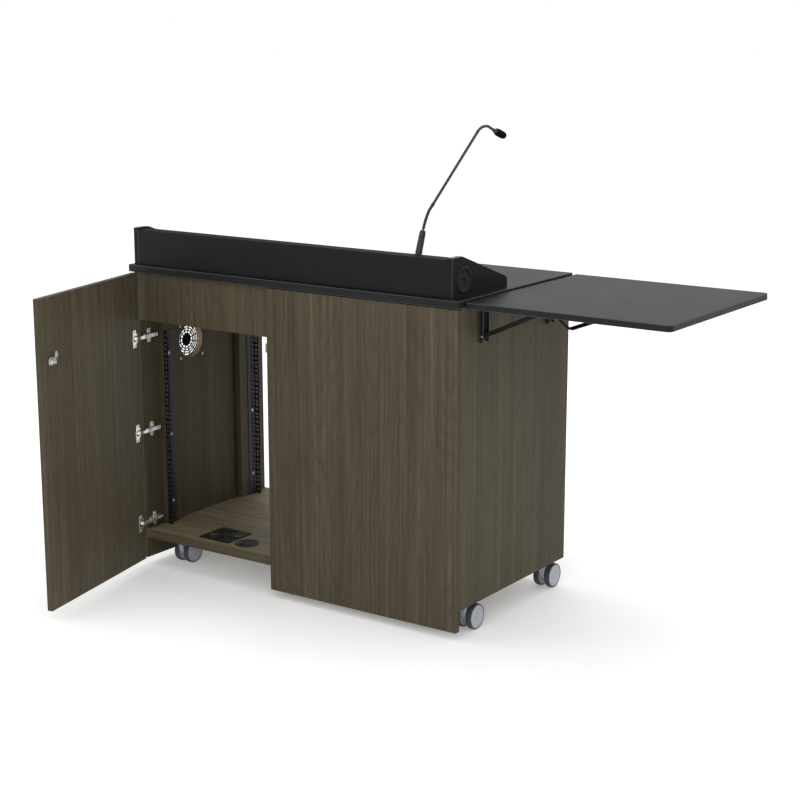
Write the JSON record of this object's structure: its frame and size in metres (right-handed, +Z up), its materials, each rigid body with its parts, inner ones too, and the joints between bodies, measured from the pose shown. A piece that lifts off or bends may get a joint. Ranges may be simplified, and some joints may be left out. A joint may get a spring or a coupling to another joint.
{
  "type": "lectern podium",
  "caption": "Mobile lectern podium with sloped reading riser, gooseneck microphone, rack bay behind a hinged door, and a fold-down side shelf on steel brackets.",
  "frame": {"origin": "on the floor under the middle of the worktop", "axes": "+X to the right as the audience sees it, towards the side shelf; -Y towards the audience; +Z up"},
  "size_m": [1.8415, 1.1724, 1.4239],
  "materials": {
    "wood_laminate": "satin vertical grain laminate",
    "wood_laminate_flat": "satin laminate, horizontal grain",
    "black_laminate": "satin black laminate",
    "black_steel": "black powder coat",
    "black_plastic": "fine textured black plastic",
    "nickel": "nickel plated steel",
    "zinc_steel": "zinc plated steel",
    "grey_plastic": "pale grey moulded plastic",
    "tyre_rubber": "dark polyurethane tyre",
    "mic_black": "matt black",
    "foam": "open-cell foam windscreen"
  },
  "bodies": {
    "cabinet": {"worktop": "black_laminate", "left_side_panel": "wood_laminate", "right_side_panel": "wood_laminate", "centre_divider": "wood_laminate", "bottom_panel": "wood_laminate_flat", "front_header_rail": "wood_laminate", "rear_top_rail": "wood_laminate_flat", "right_front_panel": "wood_laminate", "adjustable_shelf": "wood_laminate_flat", "shelf_pins": "nickel", "riser_left_cheek": "black_laminate", "riser_right_cheek": "black_laminate", "riser_front_panel": "black_laminate", "riser_top_cap": "black_laminate", "reading_board": "black_laminate", "reading_ledge": "black_laminate", "cable_grommet_rings": "black_plastic", "cable_grommet_inserts": "black_plastic", "floor_grommet_cap": "black_plastic", "floor_vent_grille": "black_plastic", "wall_vent_guard": "black_steel", "rack_cleats": "wood_laminate", "rack_rails": "black_steel", "hinge_mounting_plates": "nickel", "hinge_arms": "nickel", "lock_keeper": "nickel", "bracket_wall_legs": "black_steel", "bracket_pivot_pins": "zinc_steel", "caster_mount_plates": "zinc_steel", "mic_base_flange": "mic_black", "mic_holder": "mic_black", "pan_head_screws": "zinc_steel"},
    "left_door": {"left_door_panel": "wood_laminate", "hinge_cups": "nickel", "lock_body": "nickel"},
    "door_lock": {"lock_plug": "nickel", "lock_cam": "nickel"},
    "side_shelf_leaf": {"side_shelf": "black_laminate", "bracket_arms": "black_steel"},
    "shelf_braces": {"bracket_braces": "black_steel"},
    "shelf_release": {"release_lever": "black_steel"},
    "mic_neck": {"gooseneck": "mic_black", "mic_windscreen": "foam"},
    "front_left_caster_swivel": {"front_left_caster_housing": "grey_plastic"},
    "front_left_caster_wheels": {"front_left_caster_axle": "zinc_steel", "front_left_caster_hubs": "grey_plastic", "front_left_caster_tyres": "tyre_rubber"},
    "front_right_caster_swivel": {"front_right_caster_housing": "grey_plastic"},
    "front_right_caster_wheels": {"front_right_caster_axle": "zinc_steel", "front_right_caster_hubs": "grey_plastic", "front_right_caster_tyres": "tyre_rubber"},
    "rear_left_caster_swivel": {"rear_left_caster_housing": "grey_plastic"},
    "rear_left_caster_wheels": {"rear_left_caster_axle": "zinc_steel", "rear_left_caster_hubs": "grey_plastic", "rear_left_caster_tyres": "tyre_rubber"},
    "rear_right_caster_swivel": {"rear_right_caster_housing": "grey_plastic"},
    "rear_right_caster_wheels": {"rear_right_caster_axle": "zinc_steel", "rear_right_caster_hubs": "grey_plastic", "rear_right_caster_tyres": "tyre_rubber"}
  },
  "joints": [
    {"name": "door_swing", "type": "hinge", "parent": "cabinet", "child": "left_door", "pos_m": [-0.6033, -0.3193, 0.49], "axis": [0, 0, 1], "range_deg": [-32.5, 77.5]},
    {"name": "lock_turn", "type": "hinge", "parent": "left_door", "child": "door_lock", "pos_m": [-0.476, -0.78816, 0.767], "axis": [0.9763, 0.2164, 0], "range_deg": [0, 90]},
    {"name": "shelf_fold", "type": "hinge", "parent": "cabinet", "child": "side_shelf_leaf", "pos_m": [0.614, 0, 0.948], "axis": [0, 1, 0], "range_deg": [0, 90]},
    {"name": "brace_swing", "type": "hinge", "parent": "cabinet", "child": "shelf_braces", "pos_m": [0.614, 0, 0.866], "axis": [0, 1, 0], "range_deg": [0, 114.7]},
    {"name": "release_lift", "type": "hinge", "parent": "side_shelf_leaf", "child": "shelf_release", "pos_m": [0.83, 0, 0.949], "axis": [0, -1, 0], "range_deg": [0, 23.01]},
    {"name": "mic_bend", "type": "hinge", "parent": "cabinet", "child": "mic_neck", "pos_m": [0.4204, -0.20721, 1.15397], "axis": [1, 0, 0], "range_deg": [-20, 25]},
    {"name": "front_left_swivel", "type": "hinge", "parent": "cabinet", "child": "front_left_caster_swivel", "pos_m": [-0.508, -0.212, 0.084], "axis": [0, 0, 1], "continuous": true},
    {"name": "front_left_roll", "type": "hinge", "parent": "front_left_caster_swivel", "child": "front_left_caster_wheels", "pos_m": [-0.508, -0.19, 0.038], "axis": [1, 0, 0], "continuous": true},
    {"name": "front_right_swivel", "type": "hinge", "parent": "cabinet", "child": "front_right_caster_swivel", "pos_m": [0.5735, -0.212, 0.084], "axis": [0, 0, 1], "continuous": true},
    {"name": "front_right_roll", "type": "hinge", "parent": "front_right_caster_swivel", "child": "front_right_caster_wheels", "pos_m": [0.5735, -0.19, 0.038], "axis": [1, 0, 0], "continuous": true},
    {"name": "rear_left_swivel", "type": "hinge", "parent": "cabinet", "child": "rear_left_caster_swivel", "pos_m": [-0.508, 0.238, 0.084], "axis": [0, 0, 1], "continuous": true},
    {"name": "rear_left_roll", "type": "hinge", "parent": "rear_left_caster_swivel", "child": "rear_left_caster_wheels", "pos_m": [-0.508, 0.26, 0.038], "axis": [1, 0, 0], "continuous": true},
    {"name": "rear_right_swivel", "type": "hinge", "parent": "cabinet", "child": "rear_right_caster_swivel", "pos_m": [0.5735, 0.238, 0.084], "axis": [0, 0, 1], "continuous": true},
    {"name": "rear_right_roll", "type": "hinge", "parent": "rear_right_caster_swivel", "child": "rear_right_caster_wheels", "pos_m": [0.5735, 0.26, 0.038], "axis": [1, 0, 0], "continuous": true}
  ],
  "couplings": [
    {"joint": "brace_swing", "follows": "shelf_fold", "ratio": 1.2744},
    {"joint": "release_lift", "follows": "shelf_fold", "ratio": 0.25556}
  ]
}
